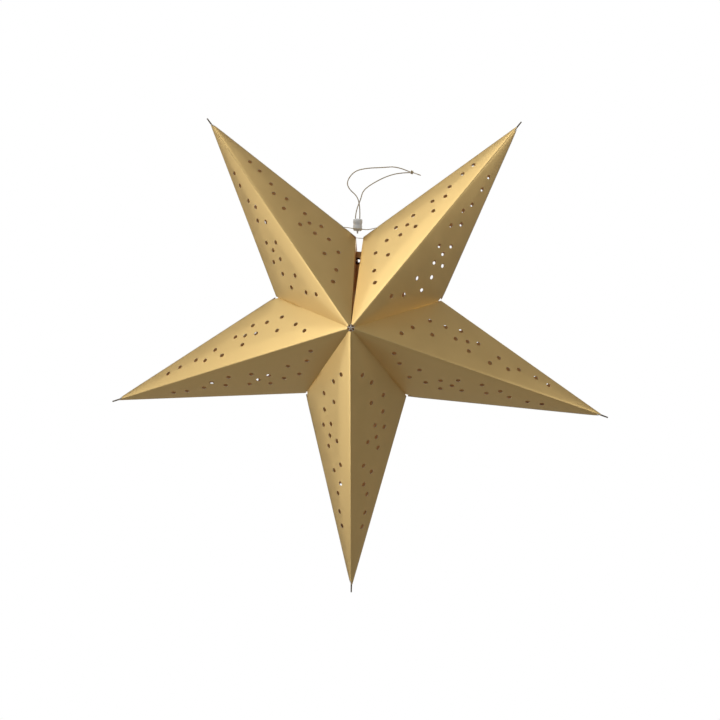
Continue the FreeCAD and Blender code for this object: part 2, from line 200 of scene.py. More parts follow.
def twisted(name, line, plies, thickness, lay, finish, loose=0.0):
    """A yarn of this many plies, wound round each other along a line."""
    ply = thickness / 2 / (1 + 1 / math.sin(math.pi / plies)) * PLY_SWELL
    swing = thickness / 2 - ply
    curve = bpy.data.curves.new(name, "CURVE")
    curve.dimensions = "3D"
    curve.bevel_depth = ply
    curve.bevel_resolution = 2
    curve.use_fill_caps = True
    places = []
    travelled = wanted = 0.0
    for first, second in zip(line, line[1:]):
        length = (second - first).length
        while wanted <= travelled + length:
            places.append(first.lerp(second, (wanted - travelled) / max(length, 1e-9)))
            wanted += lay / STEPS_A_TURN
        travelled += length
    places.append(line[-1])
    side = Vector((0.3, 1, 0.2))
    frames = []
    for index, place in enumerate(places):
        following, previous = places[min(index + 1, len(places) - 1)], places[max(index - 1, 0)]
        ahead = (following - previous).normalized()
        side = (side - ahead * side.dot(ahead)).normalized()
        frames.append((place, side.copy(), ahead.cross(side)))
    for number in range(plies):
        spline = curve.splines.new("POLY")
        spline.points.add(len(frames) - 1)
        for index, (point, (place, first, second)) in enumerate(zip(spline.points, frames)):
            turn = 2 * math.pi * (number / plies + index / STEPS_A_TURN)
            reach = swing * (1 + loose * math.sin(index * 0.37 + number))
            spot = place + first * math.cos(turn) * reach + second * math.sin(turn) * reach
            point.co = (*spot, 1)
    piece = bpy.data.objects.new(name, curve)
    bpy.context.scene.collection.objects.link(piece)
    curve.materials.append(finish)
    only(piece)
    bpy.ops.object.convert(target="MESH")
    bpy.ops.object.shade_smooth()
    return bpy.context.object


def grain(add, scale, detail, roughness):
    """Noise fixed to the piece, this many swells to the metre."""
    place = add("TexCoord")
    settings = {"Vector": place.outputs["Object"], "Scale": scale, "Detail": detail, "Roughness": roughness}
    return add("TexNoise", settings)


def yarn_finish(name, dark, light, metallic):
    """Twisted yarn: fine fibres along the plies, with a little thickness of colour."""
    material, add = new_material(name)
    fibre = grain(add, 2600, 4, 0.7)
    band = grain(add, 160, 2, 0.5)
    blend = add("Math", {0: fibre.outputs[0], 1: band.outputs[0]}, operation="MULTIPLY_ADD")
    blend.inputs[2].default_value = 0.12
    tone = add("MixRGB", {0: blend.outputs[0], 1: dark, 2: light})
    tooth = add("Bump", {"Height": fibre.outputs[0], "Strength": 0.5, "Distance": 0.0001})
    yarn = add("BsdfPrincipled", {
        "Base Color": tone.outputs[0], "Metallic": metallic, "Roughness": 0.55,
        "Normal": tooth.outputs[0],
    })
    add("OutputMaterial", {"Surface": yarn.outputs[0]})
    return material


gold_yarn = yarn_finish("gold_loop_yarn", (0.36, 0.27, 0.13, 1), (0.80, 0.66, 0.42, 1), 0.25)
left_line, right_line, tie_line = [smooth_line(route) for route in (LEFT_STRAND, RIGHT_STRAND, TIE)]
loop_left = twisted("loop_left_yarn", left_line, 3, STRAND, STRAND_LAY, gold_yarn)
loop_right = twisted("loop_right_yarn", right_line, 3, STRAND, STRAND_LAY, gold_yarn)
tie = twisted("tie_yarn", tie_line, 2, TIE_CORD, TIE_LAY, gold_yarn)


KNOT_TURNS = 3
KNOT_STEPS = 14


def knot_turns(centre, along, radius, rise):
    """The line of a small wound knot: flat turns round the cords that it holds."""
    along = along.normalized()
    first = along.orthogonal().normalized()
    second = along.cross(first)
    count = KNOT_TURNS * KNOT_STEPS
    line = []
    for index in range(count + 1):
        turn = 2 * math.pi * index / KNOT_STEPS
        wander = 0.5 * math.sin(turn * 0.5 + 0.6)
        swell = radius * (1 + 0.12 * math.sin(turn * 1.5))
        height = rise * (index / count - 0.5 + 0.16 * wander)
        spot = centre + along * height + first * math.cos(turn) * swell + second * math.sin(turn) * swell
        line.append(spot)
    return line


def wound_knot(name, centre, along, size, thickness):
    """A knot pulled tight: one yarn wound over its own core."""
    line = knot_turns(centre, along, size / 2 - thickness / 2, size * 0.62)
    turns = twisted(name, line, 3, thickness, TIE_LAY, gold_yarn)
    only(turns)
    bpy.ops.mesh.primitive_uv_sphere_add(segments=20, ring_count=12, radius=size * 0.40, location=centre)
    core = bpy.context.object
    core.data.materials.append(gold_yarn)
    bpy.ops.object.shade_smooth()
    only(core, turns)
    bpy.ops.object.join()
    bpy.ops.object.transform_apply(location=True, rotation=True, scale=True)
    return bpy.context.object


# The knot that joins the strands: their yarn wound three times round itself and pulled tight,
# with the two cut ends a little loosened beyond it. Two smaller knots hold the tie's ends.
KNOT_PLACE = Vector((0.05985, 0, 0.1783))
KNOT, KNOT_YARN = 0.0044, 0.0012
END_YARN, END_LAY, END_LOOSE = 0.0011, 0.004, 0.35
END_WAY = Vector((0.945, 0, -0.327))
loop_knot = wound_knot("loop_knot_yarn", KNOT_PLACE, END_WAY, KNOT, KNOT_YARN)
ends = []
for reach, lean in [(0.0112, 0.0007), (0.0094, -0.0008)]:
    start = KNOT_PLACE + END_WAY * 0.001
    stop = KNOT_PLACE + END_WAY * reach + Vector((0, lean * 1.4, lean * 0.3))
    bend = (start + stop) / 2 + Vector((0, lean, 0.0005))
    line = smooth_line([start, bend, stop])
    ends.append(twisted("end", line, 3, END_YARN, END_LAY, gold_yarn, END_LOOSE))
only(*ends, loop_knot)
bpy.ops.object.join()
loop_knot = bpy.context.object

TIE_KNOT, TIE_KNOT_YARN = 0.0031, 0.0009
TIE_WAY = Vector((1, 0, 0.1))
TIE_KNOTS = [
    ("tie_knot_left_yarn", Vector((-0.0256, 0, 0.1128))),
    ("tie_knot_right_yarn", Vector((0.0255, 0, 0.1130))),
]
tie_knots = [wound_knot(name, place, TIE_WAY, TIE_KNOT, TIE_KNOT_YARN) for name, place in TIE_KNOTS]

for piece, node in [
    (loop_left, "loop_strand_left"), (loop_right, "loop_strand_right"), (loop_knot, "loop_knot"),
    (tie, "tie_cord"), (tie_knots[0], "tie_knot_left"), (tie_knots[1], "tie_knot_right"),
]:
    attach(piece, "root")
    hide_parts(node)

# The stay between the two top arms' corners: a short stitch of white two-ply sewing thread,
# pulled nearly straight.
THREAD = [
    (-0.0043, 0, 0.0997), (-0.0015, -0.0003, 0.0994), (0.0015, -0.0003, 0.0993), (0.0043, 0, 0.0992),
]
THREAD_SIZE, THREAD_LAY = 0.0009, 0.0026
white_yarn = yarn_finish("white_sewing_thread", (0.62, 0.61, 0.58, 1), (0.92, 0.91, 0.88, 1), 0.0)
thread = twisted("seam_thread_yarn", smooth_line(THREAD), 2, THREAD_SIZE, THREAD_LAY, white_yarn)
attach(thread, "root")
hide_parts("seam_thread")

# The stopper: a small barrel moulded in white plastic, bored for the two strands, with a
# shallow waist to grip and the nib left by the mould's gate underneath.
STOPPER_PLACE = Vector((-0.0026, 0, 0.1077))
STOPPER, STOPPER_HEIGHT, STOPPER_BORE = 0.011, 0.0146, 0.0018
STOPPER_ROUND = 0.0021
WAIST_CUTS = (0.36, 0.44, 0.56, 0.64)
WAIST = 0.93
NIB, NIB_LENGTH = 0.0022, 0.003
NIB_SUNK, NIB_ROUND = 0.0004, 0.0003
only(thread)
bpy.ops.mesh.primitive_cylinder_add(
    vertices=48, radius=STOPPER / 2, depth=STOPPER_HEIGHT,
    location=STOPPER_PLACE + Vector((0, 0, STOPPER_HEIGHT / 2)),
)
stopper = bpy.context.object
stopper.name = "cord_stopper_barrel"
bpy.ops.object.transform_apply(location=True, rotation=True, scale=True)
bpy.ops.object.mode_set(mode="EDIT")
for share in WAIST_CUTS:
    level = STOPPER_PLACE + Vector((0, 0, STOPPER_HEIGHT * share))
    bpy.ops.mesh.select_all(action="SELECT")
    bpy.ops.mesh.bisect(plane_co=level, plane_no=(0, 0, 1), threshold=1e-7)
bpy.ops.mesh.select_mode(type="VERT")
bpy.ops.mesh.select_all(action="DESELECT")
barrel = bmesh.from_edit_mesh(stopper.data)
for vertex in barrel.verts:
    share = (vertex.co.z - STOPPER_PLACE.z) / STOPPER_HEIGHT
    vertex.select_set(0.42 < share < 0.58)
barrel.select_flush(True)
bmesh.update_edit_mesh(stopper.data)
bpy.ops.transform.resize(value=(WAIST, WAIST, 1), center_override=STOPPER_PLACE)
bpy.ops.mesh.select_mode(type="EDGE")
bpy.ops.mesh.select_all(action="DESELECT")
barrel = bmesh.from_edit_mesh(stopper.data)
for edge in barrel.edges:
    share = [(vertex.co.z - STOPPER_PLACE.z) / STOPPER_HEIGHT for vertex in edge.verts]
    edge.select_set(min(share) > 0.99 or max(share) < 0.01)
bmesh.update_edit_mesh(stopper.data)
bpy.ops.mesh.bevel(offset=STOPPER_ROUND, segments=5, affect="EDGES")
bpy.ops.object.mode_set(mode="OBJECT")
bpy.ops.mesh.primitive_cone_add(
    vertices=20, radius1=NIB * 0.36, radius2=NIB / 2, depth=NIB_LENGTH + NIB_SUNK,
    location=STOPPER_PLACE - Vector((0, 0, (NIB_LENGTH - NIB_SUNK) / 2)),
)
nib = bpy.context.object
bpy.ops.object.modifier_add(type="BEVEL")
nib.modifiers[-1].width, nib.modifiers[-1].segments = NIB_ROUND, 2
bpy.ops.object.modifier_apply(modifier=nib.modifiers[-1].name)
only(nib, stopper)
bpy.ops.object.join()
bores = []
for route in (LEFT_STRAND, RIGHT_STRAND):
    foot, head = route[0][2] - 0.0006, STOPPER_PLACE.z + STOPPER_HEIGHT + 0.001
    bpy.ops.mesh.primitive_cylinder_add(
        vertices=20, radius=STOPPER_BORE / 2, depth=head - foot,
        location=(route[0][0], route[0][1], (head + foot) / 2),
    )
    bores.append(bpy.context.object)
for bore in bores:
    only(stopper)
    cut = stopper.modifiers.new("bore", "BOOLEAN")
    cut.operation, cut.object, cut.solver = "DIFFERENCE", bore, "EXACT"
    bpy.ops.object.modifier_apply(modifier=cut.name)
only(*bores)
bpy.ops.object.delete()
only(stopper)
bpy.ops.object.shade_smooth_by_angle(angle=math.radians(30))


def moulded_white():
    """Glossy white plastic, slightly warm and a little uneven."""
    material, add = new_material("white_moulded_plastic")
    skin = grain(add, 500, 2, 0.5)
    tone = add("MixRGB", {0: skin.outputs[0], 1: (0.88, 0.88, 0.87, 1), 2: (0.94, 0.94, 0.93, 1)})
    plastic = add("BsdfPrincipled", {"Base Color": tone.outputs[0], "Roughness": 0.32})
    add("OutputMaterial", {"Surface": plastic.outputs[0]})
    return material


stopper.data.materials.clear()
stopper.data.materials.append(moulded_white())
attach(stopper, "root")
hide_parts("cord_stopper")
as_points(left_line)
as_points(right_line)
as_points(tie_line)

# The five arms. Each is one sheet of gold-printed card, punched, folded along its ridges and
# outer edges to a hollow four-sided point, and closed by a lap glued under one edge. Flaps
# folded in along the valleys are glued to the next arm's.
TIP = 0.300
NOTCH = 0.101
PEAK = 0.090
SEAM = math.radians(5)
CARD = 0.00045
FLAP_WIDTH = 0.012
LIP_WIDTH = 0.002
END_CUT = 0.0004
APEX_FLAT = 0.0892
RIDGE_ROUND = 0.0009
OUTER_ROUND = 0.0003
VALLEY_ROUND = 0.0002
TAIL_START, TAIL_END = 0.2905, 0.3044
TAIL_WIDTH, TAIL_THICKNESS = 0.0019, 0.0018
TIE_HOLE = 0.0025
TIE_HOLE_OUT, TIE_HOLE_UP = 0.0188, 0.1117
LAP_WIDTH = 0.009
LAP_STEP = 0.0005
LAP_NOTCH_GAP, LAP_TIP_GAP = 0.006, 0.0016
HOLE = 0.0052
HOLE_SIDES = 28
NEAR = 1e-6

# The sixteen punches of a panel, each as its shares of the way from the peak to the tip and
# from the peak to the notch
PUNCHES = [
    (0.709, 0.185), (0.641, 0.236), (0.560, 0.268), (0.534, 0.212),
    (0.461, 0.209), (0.453, 0.346), (0.352, 0.283), (0.331, 0.464),
    (0.297, 0.433), (0.257, 0.409), (0.223, 0.575), (0.188, 0.340),
    (0.169, 0.551), (0.122, 0.187), (0.109, 0.346), (0.104, 0.557),
]
ARMS = ["arm_top_left", "arm_left", "arm_bottom", "arm_right", "arm_top_right"]

# An arm is made along +X with its front to -Y, then turned into place about the Y axis
arm_span = (2 * math.pi - SEAM) / 5
valley_out = Vector((math.cos(arm_span / 2), 0, math.sin(arm_span / 2)))
notch = NOTCH * valley_out
front_peak = Vector((0, -PEAK, 0))
tip = Vector((TIP, 0, 0))
ridge = (tip - front_peak).normalized()
across = (notch - front_peak) - ridge * (notch - front_peak).dot(ridge)
panel_width = across.length
across.normalize()
outward = ridge.cross(across)
panel_place = Matrix((
    (ridge.x, across.x, outward.x, 0),
    (ridge.y, across.y, outward.y, -PEAK),
    (ridge.z, across.z, outward.z, 0),
    (0, 0, 0, 1),
))
valley_side = Vector((-valley_out.z, 0, valley_out.x))
valley_line = (notch - front_peak).normalized()
flap_way = valley_side.cross(valley_line)
if flap_way.y < 0:
    flap_way = -flap_way
ridge_length = (tip - front_peak).length
notch_flat = Vector((ridge.dot(notch - front_peak), panel_width, 0))
tip_flat = Vector((ridge_length, 0, 0))
outer_flat = (tip_flat - notch_flat).normalized()
outer_side = Vector((-outer_flat.y, outer_flat.x, 0))
valley_flat = notch_flat.normalized()
valley_normal = Vector((-valley_flat.y, valley_flat.x, 0))


def choose(piece, kind, test):
    """In edit mode, selects the vertices, edges or faces that pass the test."""
    bpy.ops.mesh.select_mode(type=kind)
    bpy.ops.mesh.select_all(action="DESELECT")
    mesh = bmesh.from_edit_mesh(piece.data)
    for item in {"VERT": mesh.verts, "EDGE": mesh.edges, "FACE": mesh.faces}[kind]:
        if test(item):
            item.select_set(True)
    mesh.select_flush_mode()
    bmesh.update_edit_mesh(piece.data)


def middle(item):
    """The middle of an edge or face."""
    if isinstance(item, bmesh.types.BMEdge):
        return (item.verts[0].co + item.verts[1].co) / 2
    return item.calc_center_median()


def finish_with(piece, kind, **settings):
    """Adds a modifier and applies it."""
    only(piece)
    modifier = piece.modifiers.new(kind.lower(), kind)
    for word, value in settings.items():
        setattr(modifier, word, value)
    bpy.ops.object.modifier_apply(modifier=modifier.name)


def put(piece, matrix):
    """Places an object and applies its place to its mesh."""
    only(piece)
    piece.matrix_world = matrix @ piece.matrix_world
    bpy.ops.object.transform_apply(location=True, rotation=True, scale=True)


def trim(place, away, fill=False):
    """Cuts what is selected by a plane and clears the side that the plane's normal points to."""
    bpy.ops.mesh.bisect(plane_co=place, plane_no=away, clear_outer=True, use_fill=fill, threshold=1e-7)


def valley_gap(place):
    """How far a place is from the arm's valley planes."""
    return abs(valley_side.x * place.x + valley_side.z * abs(place.z))


MIRRORED = {
    "use_axis": (False, True, True), "use_clip": False, "use_mirror_merge": True, "merge_threshold": 2e-6,
}

# One panel as cut from the flat sheet, with a slight bow from folding and packing
COLUMNS, ROWS = 74, 24
only(floor)
bpy.ops.mesh.primitive_grid_add(x_subdivisions=COLUMNS, y_subdivisions=ROWS, size=1)
panel = bpy.context.object
panel.name = "folded_card"
panel.scale = (ridge_length, panel_width, 1)
panel.location = (ridge_length / 2, panel_width / 2, 0)
bpy.ops.object.transform_apply(location=True, rotation=True, scale=True)
bpy.ops.object.mode_set(mode="EDIT")
bpy.ops.mesh.select_all(action="SELECT")
trim(tip_flat, -outer_side if outer_side.dot(notch_flat) < 0 else outer_side)
bpy.ops.mesh.select_all(action="SELECT")
trim((0, 0, 0), valley_normal)
bpy.ops.object.mode_set(mode="OBJECT")

# The sheet's own measure runs from the peak along the ridge, in units of FLAT_UNIT
FLAT_UNIT = 0.32
flat = panel.data.uv_layers.new(name="sheet")
for loop in panel.data.loops:
    spot = panel.data.vertices[loop.vertex_index].co
    flat.data[loop.index].uv = (spot.x / FLAT_UNIT, spot.y / FLAT_UNIT)

BOW, BOW_REACH = 0.0011, 0.020
bow = panel.vertex_groups.new(name="bow")
for vertex in panel.data.vertices:
    spot = vertex.co
    room_left = min(spot.y, abs(outer_side.dot(spot - tip_flat)), abs(valley_normal.dot(spot)))
    bow.add([vertex.index], min(1, room_left / BOW_REACH) ** 0.8, "REPLACE")
finish_with(panel, "DISPLACE", direction="Z", strength=BOW, mid_level=0, vertex_group="bow")
put(panel, panel_place)

# The glue flap, folded in along the valley
bpy.ops.object.mode_set(mode="EDIT")


def on_valley(item):
    """Whether an edge or face lies in the panel's valley plane."""
    return all(abs(valley_side.dot(vertex.co)) < NEAR for vertex in item.verts)


choose(panel, "EDGE", on_valley)
bpy.ops.mesh.extrude_region_move(TRANSFORM_OT_translate={"value": flap_way * FLAP_WIDTH})
choose(panel, "FACE", on_valley)
valley_length = (notch - front_peak).length
inner_end = front_peak + valley_line * END_CUT / valley_out.x * valley_length / NOTCH
flap_start = (
    front_peak + valley_line * (END_CUT / valley_out.x + 0.6 * FLAP_WIDTH) * valley_length / NOTCH
)
slant = (flap_start + flap_way * FLAP_WIDTH) - inner_end
slant_away = slant.cross(valley_side)
if slant_away.dot(valley_line) > 0:
    slant_away = -slant_away
trim(flap_start + flap_way * FLAP_WIDTH, slant_away)
bpy.ops.mesh.select_all(action="SELECT")
trim((0, 0, 0), (0, 1, 0))
bpy.ops.mesh.select_all(action="SELECT")
trim((END_CUT, 0, 0), (-1, 0, 0))
bpy.ops.object.mode_set(mode="OBJECT")
finish_with(panel, "MIRROR", **MIRRORED)

# The punch tool: one round cutter for each hole of a panel, mirrored as the panel is
PUNCH_DEPTH = 0.009
only(floor)
cutters = []
for to_tip, to_notch in PUNCHES:
    spot = tip_flat * to_tip + notch_flat * to_notch
    bpy.ops.mesh.primitive_cylinder_add(
        vertices=HOLE_SIDES, radius=HOLE / 2, depth=PUNCH_DEPTH, location=spot,
    )
    cutters.append(bpy.context.object)
only(*cutters)
bpy.ops.object.join()
punch = bpy.context.object
bpy.ops.object.transform_apply(location=True, rotation=True, scale=True)
put(punch, panel_place)
finish_with(punch, "MIRROR", **MIRRORED)
bpy.ops.object.mode_set(mode="EDIT")
bpy.ops.mesh.select_all(action="SELECT")
bpy.ops.mesh.normals_make_consistent(inside=False)
bpy.ops.object.mode_set(mode="OBJECT")


def printed_card():
    """Gold print: satin metallic ink on card, pale along the ridge and outer edges: worn print plus a
    painted fold highlight.
    """
    material, add = new_material("gold_printed_card")
    sheet = add("UVMap", uv_map="sheet")
    spot = add("VectorMath", {0: sheet.outputs[0], 1: (FLAT_UNIT, FLAT_UNIT, 0)}, operation="MULTIPLY")
    to_ridge = add("VectorMath", {0: spot.outputs[0], 1: (0, 1, 0)}, operation="DOT_PRODUCT")
    to_outer = add("VectorMath", {0: spot.outputs[0], 1: tuple(outer_side)}, operation="DOT_PRODUCT")
    outer_line = outer_side.dot(tip_flat)
    outer_gap = add("Math", {0: to_outer.outputs["Value"], 1: outer_line}, operation="SUBTRACT")
    outer_far = add("Math", {0: outer_gap.outputs[0]}, operation="ABSOLUTE")
    nearest = add("Math", {0: to_ridge.outputs["Value"], 1: outer_far.outputs[0]}, operation="MINIMUM")
    mottle = grain(add, 38, 5, 0.6)
    fibre = grain(add, 900, 3, 0.6)

    def spread(value, start, stop, low, high):
        """Turns a value between start and stop into one between low and high."""
        return add("MapRange", {
            "Value": value.outputs[0], "From Min": start, "From Max": stop, "To Min": low, "To Max": high,
        })

    # Pale line along the ridge and outer edges: print worn at the folds, and a painted highlight where the
    # folds catch the light.
    ragged = spread(fibre, 0.3, 0.7, 0.0002, 0.0009)
    wear_and_highlight = spread(nearest, ragged.outputs[0], 0, 0, 0.5)
    tone = add("MixRGB", {0: mottle.outputs[0], 1: (0.82, 0.575, 0.215, 1), 2: (0.88, 0.635, 0.255, 1)})
    colour = add("MixRGB", {0: wear_and_highlight.outputs[0], 1: tone.outputs[0], 2: (0.90, 0.78, 0.52, 1)})
    rough = spread(mottle, 0.3, 0.7, 0.38, 0.44)
    tooth = add("Bump", {"Height": fibre.outputs[0], "Strength": 0.12, "Distance": 0.0001})
    ink = add("BsdfPrincipled", {
        "Base Color": colour.outputs[0], "Metallic": 0.93, "Roughness": rough.outputs[0],
        "Normal": tooth.outputs[0], "Coat Weight": 0.5, "Coat Roughness": 0.4,
    })
    through = add("BsdfTranslucent", {"Color": (0.80, 0.60, 0.33, 1)})
    mix = add("MixShader", {0: 0.22, 1: ink.outputs[0], 2: through.outputs[0]})
    add("OutputMaterial", {"Surface": mix.outputs[0]})
    return material


def plain_card():
    """The sheet's unprinted inner side: cream card, which lets a little light through."""
    material, add = new_material("cream_card_inside")
    fibre = grain(add, 260, 6, 0.65)
    tone = add("MixRGB", {0: fibre.outputs[0], 1: (0.78, 0.60, 0.42, 1), 2: (0.88, 0.72, 0.54, 1)})
    tooth = add("Bump", {"Height": fibre.outputs[0], "Strength": 0.2, "Distance": 0.0002})
    sheet = add("BsdfPrincipled", {
        "Base Color": tone.outputs[0], "Roughness": 0.85, "Normal": tooth.outputs[0],
    })
    through = add("BsdfTranslucent", {"Color": (0.90, 0.72, 0.52, 1)})
    mix = add("MixShader", {0: 0.6, 1: sheet.outputs[0], 2: through.outputs[0]})
    add("OutputMaterial", {"Surface": mix.outputs[0]})
    return material


def cut_edge():
    """The pale fibrous core that shows where the card is cut or punched."""
    material, add = new_material("card_cut_edge")
    fibre = grain(add, 2200, 4, 0.7)
    tone = add("MixRGB", {0: fibre.outputs[0], 1: (0.62, 0.54, 0.42, 1), 2: (0.90, 0.86, 0.78, 1)})
    core = add("BsdfPrincipled", {"Base Color": tone.outputs[0], "Roughness": 0.9})
    add("OutputMaterial", {"Surface": core.outputs[0]})
    return material


def pressed_card():
    """The pinched tail: four layers pressed and glued, the ink rubbed dull."""
    material, add = new_material("pressed_card_tail")
    fibre = grain(add, 1100, 5, 0.7)
    tone = add("MixRGB", {0: fibre.outputs[0], 1: (0.10, 0.075, 0.045, 1), 2: (0.26, 0.20, 0.12, 1)})
    tail = add("BsdfPrincipled", {"Base Color": tone.outputs[0], "Metallic": 0.3, "Roughness": 0.6})
    add("OutputMaterial", {"Surface": tail.outputs[0]})
    return material


card_finishes = [printed_card(), plain_card(), cut_edge(), pressed_card()]
PRINTED, INSIDE, CUT, PRESSED = range(4)


def give_card(piece, finish):
    """Gives a piece the card's four finishes, and its faces this one of them."""
    for material in card_finishes:
        piece.data.materials.append(material)
    for face in piece.data.polygons:
        face.material_index = finish


def drill_hole(piece, size, depth, place, sides, turn=(0, 0, 0)):
    """Bores one round hole, whose wall shows the card's core."""
    bpy.ops.mesh.primitive_cylinder_add(
        vertices=sides, radius=size / 2, depth=depth, rotation=turn, location=place,
    )
    drill = bpy.context.object
    give_card(drill, CUT)
    finish_with(
        piece, "BOOLEAN", operation="DIFFERENCE", object=drill, solver="EXACT", material_mode="INDEX",
    )
    only(drill)
    bpy.ops.object.delete()


give_card(panel, PRINTED)
give_card(punch, CUT)
LAP_FADE, LAP_TIP_FADE = 0.012, 0.02


def over_lap(spot):
    """How far the back panel stands off over the lap: all of it at the edge, none at the ridge."""
    local = Vector((spot.x, -abs(spot.y), abs(spot.z))) - front_peak
    here = Vector((ridge.dot(local), across.dot(local), 0))
    width_here = panel_width * (ridge_length - here.x) / (ridge_length - notch_flat.x)
    from_ridge = here.y / max(NEAR, width_here)
    from_valley = -valley_normal.dot(here) / LAP_FADE
    near_tip = (ridge_length - here.x) / LAP_TIP_FADE
    return max(0, min(1, from_ridge)) * max(0, min(1, from_valley)) * max(0, min(1, near_tip))


def fold_arm(name, angle, open_side):
    """Lays the lap, rounds the folds, gives the sheet its thickness and punches it."""
    only(panel)
    bpy.ops.object.duplicate()
    arm = bpy.context.object
    arm.name = name
    bpy.ops.object.mode_set(mode="EDIT")
    bpy.ops.mesh.select_all(action="SELECT")
    bpy.ops.mesh.normals_make_consistent(inside=False)

    # No back flap on the first arm's seam edge, a narrow lip on the last arm's
    def seam_flap(face):
        spot = middle(face)
        return valley_gap(spot) < NEAR and spot.y > 0 and spot.z * open_side > 0

    if open_side < 0:
        choose(arm, "FACE", seam_flap)
        bpy.ops.mesh.delete(type="FACE")
    elif open_side > 0:
        choose(arm, "FACE", seam_flap)
        lip = Vector((flap_way.x, -flap_way.y, flap_way.z))
        trim(Vector((0, PEAK, 0)) + lip * LIP_WIDTH, lip)

    # The lap: the lower outer edge is slit, the back panel's edge stands off by the card's
    # thickness and the front panel runs on under it
    def lower_edge(edge):
        at_fold = all(abs(vertex.co.y) < NEAR and vertex.co.z < 0 for vertex in edge.verts)
        return at_fold and middle(edge).x > valley_out.x * NOTCH + NEAR

    def whole(edge):
        return lower_edge(edge) and len(edge.link_faces) == 2

    def front_slit(edge):
        return lower_edge(edge) and len(edge.link_faces) == 1 and middle(edge.link_faces[0]).y < 0

    back_out = Vector((outward.x, -outward.y, -outward.z))
    choose(arm, "EDGE", whole)
    bpy.ops.mesh.edge_split(type="EDGE")
    mesh = bmesh.from_edit_mesh(arm.data)
    for vertex in mesh.verts:
        faces = vertex.link_faces
        if faces and all(middle(face).y > 0 and middle(face).z < 0 for face in faces):
            if all(valley_gap(middle(face)) > NEAR for face in faces):
                vertex.co += back_out * LAP_STEP * over_lap(vertex.co)
    bmesh.update_edit_mesh(arm.data)

    choose(arm, "EDGE", front_slit)
    lower_notch = Vector((notch.x, 0, -notch.z))
    outer_way = (tip - lower_notch).normalized()
    lap_way = back_out.cross(outer_way)
    if lap_way.y < 0:
        lap_way = -lap_way
    bpy.ops.mesh.extrude_region_move(TRANSFORM_OT_translate={"value": lap_way * LAP_WIDTH})

    def lap_face(face):
        flat_back = all(abs(back_out.dot(vertex.co - tip)) < NEAR for vertex in face.verts)
        at_fold = any(abs(vertex.co.y) < NEAR for vertex in face.verts)
        return flat_back and at_fold and middle(face).y < LAP_WIDTH and len(face.verts) <= 5

    choose(arm, "FACE", lap_face)
    trim((0, 0, -LAP_TIP_GAP), (0, 0, 1))
    choose(arm, "FACE", lap_face)
    trim(lower_notch + outer_way * LAP_NOTCH_GAP, lap_way * 0.35 - outer_way)

    # The folds are a little round: the ridges most, then the outer edges, then the valleys
    def folded(edge):
        if len(edge.link_faces) != 2:
            return False
        turn = edge.link_faces[0].normal.angle(edge.link_faces[1].normal, 0)
        return turn > math.radians(35)

    for gap, offset, segments in [
        (lambda place: abs(place.z), RIDGE_ROUND, 3),
        (lambda place: abs(place.y), OUTER_ROUND, 2),
        (valley_gap, VALLEY_ROUND, 1),
    ]:
        choose(arm, "EDGE", lambda edge: folded(edge) and all(gap(v.co) < NEAR for v in edge.verts))
        bpy.ops.mesh.bevel(offset=offset, segments=segments, affect="EDGES", clamp_overlap=True)
    bpy.ops.object.mode_set(mode="OBJECT")
    arm.vertex_groups.clear()
    finish_with(
        arm, "SOLIDIFY", thickness=CARD, offset=-1, use_even_offset=True, use_quality_normals=True,
        material_offset=INSIDE, material_offset_rim=CUT, thickness_clamp=0,
    )

    # The two peaks are snipped off flat, which bares the card's pale core
    only(arm)
    bpy.ops.object.mode_set(mode="EDIT")
    for way in (1, -1):
        bpy.ops.mesh.select_all(action="SELECT")
        trim((0, APEX_FLAT * way, 0), (0, way, 0), fill=True)
    bpy.ops.object.mode_set(mode="OBJECT")
    for face in arm.data.polygons:
        if abs(abs(face.center.y) - APEX_FLAT) < 1e-5 and abs(face.normal.y) > 0.99:
            face.material_index = CUT
    finish_with(
        arm, "BOOLEAN", operation="DIFFERENCE", object=punch, solver="EXACT", material_mode="INDEX",
    )

    # The pinched tail at the tip, where all layers are pressed and glued
    bpy.ops.mesh.primitive_cube_add(size=1, location=((TAIL_START + TAIL_END) / 2, 0, 0))
    tail = bpy.context.object
    tail.scale = (TAIL_END - TAIL_START, TAIL_THICKNESS, TAIL_WIDTH)
    bpy.ops.object.transform_apply(location=True, rotation=True, scale=True)
    bpy.ops.object.mode_set(mode="EDIT")
    choose(tail, "FACE", lambda face: middle(face).x > TAIL_END - 1e-5)
    bpy.ops.transform.resize(value=(1, 0.55, 0.75), center_override=(TAIL_END, 0, 0))
    bpy.ops.mesh.select_all(action="SELECT")
    bpy.ops.mesh.subdivide(number_cuts=2)
    bpy.ops.mesh.bevel(offset=0.00025, segments=2, affect="EDGES", clamp_overlap=True)
    bpy.ops.object.mode_set(mode="OBJECT")
    give_card(tail, PRESSED)
    only(tail, arm)
    bpy.ops.object.join()
    put(arm, Matrix.Rotation(-angle, 4, "Y"))
    if open_side:
        place = (TIE_HOLE_OUT * open_side, 0, TIE_HOLE_UP)
        drill_hole(arm, TIE_HOLE, 0.011, place, 20, (0, math.pi / 2, 0))
    only(arm)
    bpy.ops.object.shade_smooth_by_angle(angle=math.radians(28))
    return arm


arms = []
for number, name in enumerate(ARMS):
    angle = math.pi / 2 + SEAM / 2 + arm_span * (number + 0.5)
    arms.append(fold_arm(name + "_card", angle, {0: -1, 4: 1}.get(number, 0)))
only(punch, panel)
bpy.ops.object.delete()

